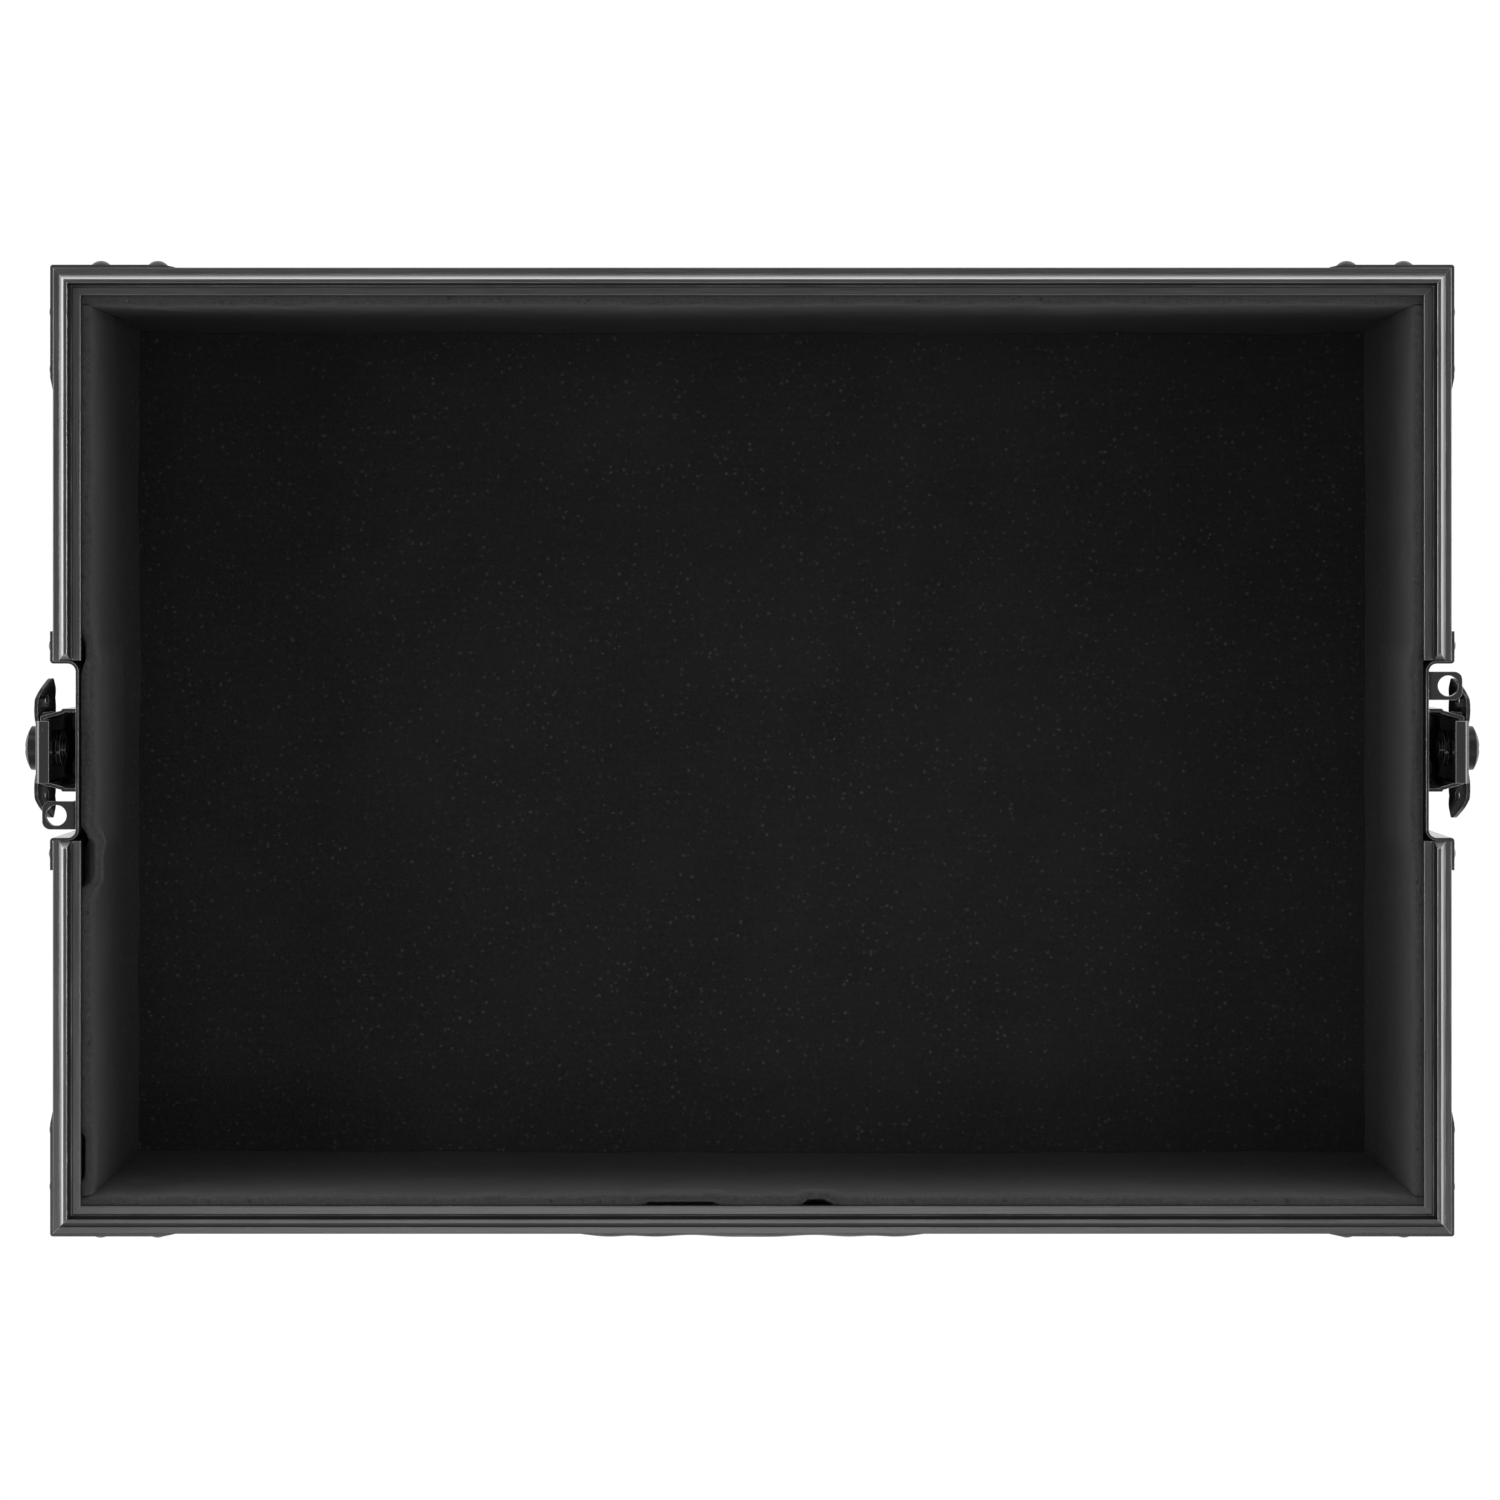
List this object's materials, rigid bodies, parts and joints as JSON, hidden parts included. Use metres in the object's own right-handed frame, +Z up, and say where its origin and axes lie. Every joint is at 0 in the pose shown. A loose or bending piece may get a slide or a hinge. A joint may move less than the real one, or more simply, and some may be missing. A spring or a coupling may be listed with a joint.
{
  "type": "flight case half",
  "caption": "Open padded half of an equipment flight case with tongue rim, recessed butterfly latches, ball corners, rubber feet and swinging carry handle.",
  "frame": {"origin": "middle of the whole part's box in plan, on the surface that the rubber feet stand on", "axes": "+X along the long walls to the right latch, +Y from the handle wall to the back wall, +Z up out of the open side"},
  "size_m": [0.6458, 0.4456, 0.1467],
  "materials": {
    "panel_laminate": "black phenolic laminate on plywood, fine pebble",
    "black_aluminium": "black anodised extrusion with fine draw lines",
    "black_steel": "black powder coat, semi-gloss",
    "black_plated_steel": "glossy black electroplate",
    "black_rivet": "black pop rivet, satin",
    "zinc_screw": "dull zinc",
    "lining_felt": "black felt face on foam sheet",
    "foot_rubber": "moulded black rubber",
    "grip_plastic": "moulded soft black grip"
  },
  "bodies": {
    "shell": {"back_panel": "panel_laminate", "bottom_angle_back": "black_aluminium", "back_foam": "lining_felt", "front_panel": "panel_laminate", "bottom_angle_front": "black_aluminium", "front_foam": "lining_felt", "left_panel": "panel_laminate", "bottom_angle_left": "black_aluminium", "left_foam": "lining_felt", "right_panel": "panel_laminate", "bottom_angle_right": "black_aluminium", "right_foam": "lining_felt", "bottom_panel": "panel_laminate", "floor_foam": "lining_felt", "rim_front": "black_aluminium", "rim_back": "black_aluminium", "rim_left_front": "black_aluminium", "rim_left_back": "black_aluminium", "rim_right_front": "black_aluminium", "rim_right_back": "black_aluminium", "corner_angle_front_left": "black_aluminium", "rim_brace_front_left": "black_steel", "ball_corner_front_left": "black_steel", "corner_angle_front_right": "black_aluminium", "rim_brace_front_right": "black_steel", "ball_corner_front_right": "black_steel", "corner_angle_back_left": "black_aluminium", "rim_brace_back_left": "black_steel", "ball_corner_back_left": "black_steel", "corner_angle_back_right": "black_aluminium", "rim_brace_back_right": "black_steel", "ball_corner_back_right": "black_steel", "brace_rivets": "black_rivet", "corner_rivets": "black_rivet", "edge_rivets": "black_rivet", "rubber_feet": "foot_rubber", "foot_screws": "zinc_screw", "left_dish": "black_steel", "left_dish_rivets": "black_rivet", "left_housing": "black_steel", "left_housing_rivets": "black_rivet", "left_padlock_tab": "black_steel", "right_dish": "black_steel", "right_dish_rivets": "black_rivet", "right_housing": "black_steel", "right_housing_rivets": "black_rivet", "right_padlock_tab": "black_steel", "handle_bracket_left": "black_steel", "handle_bracket_right": "black_steel", "handle_rivets": "black_rivet"},
    "left_key": {"left_crank_spindle": "black_plated_steel", "left_butterfly": "black_plated_steel", "left_hub_cap": "black_plated_steel"},
    "left_hook": {"left_claw": "black_plated_steel"},
    "right_key": {"right_crank_spindle": "black_plated_steel", "right_butterfly": "black_plated_steel", "right_hub_cap": "black_plated_steel"},
    "right_hook": {"right_claw": "black_plated_steel"},
    "handle": {"handle_bail": "black_steel", "handle_grip": "grip_plastic"}
  },
  "joints": [
    {"name": "left_key_turn", "type": "hinge", "parent": "shell", "child": "left_key", "pos_m": [-0.3055, 0.00658, 0.108], "axis": [-1, 0, 0], "range_deg": [0, 180]},
    {"name": "left_hook_slide", "type": "slide", "parent": "shell", "child": "left_hook", "axis": [0, 0, 1], "range_m": [-0.01, 0]},
    {"name": "right_key_turn", "type": "hinge", "parent": "shell", "child": "right_key", "pos_m": [0.3055, 0.00658, 0.108], "axis": [1, 0, 0], "range_deg": [0, 180]},
    {"name": "right_hook_slide", "type": "slide", "parent": "shell", "child": "right_hook", "axis": [0, 0, 1], "range_m": [-0.01, 0]},
    {"name": "handle_swing", "type": "hinge", "parent": "shell", "child": "handle", "pos_m": [0, -0.20902, 0.081], "axis": [-1, 0, 0], "range_deg": [0, 160]}
  ],
  "couplings": [
    {"joint": "left_hook_slide", "follows": "left_key_turn", "m_per_rad": -0.00318},
    {"joint": "right_hook_slide", "follows": "right_key_turn", "m_per_rad": -0.00318}
  ]
}
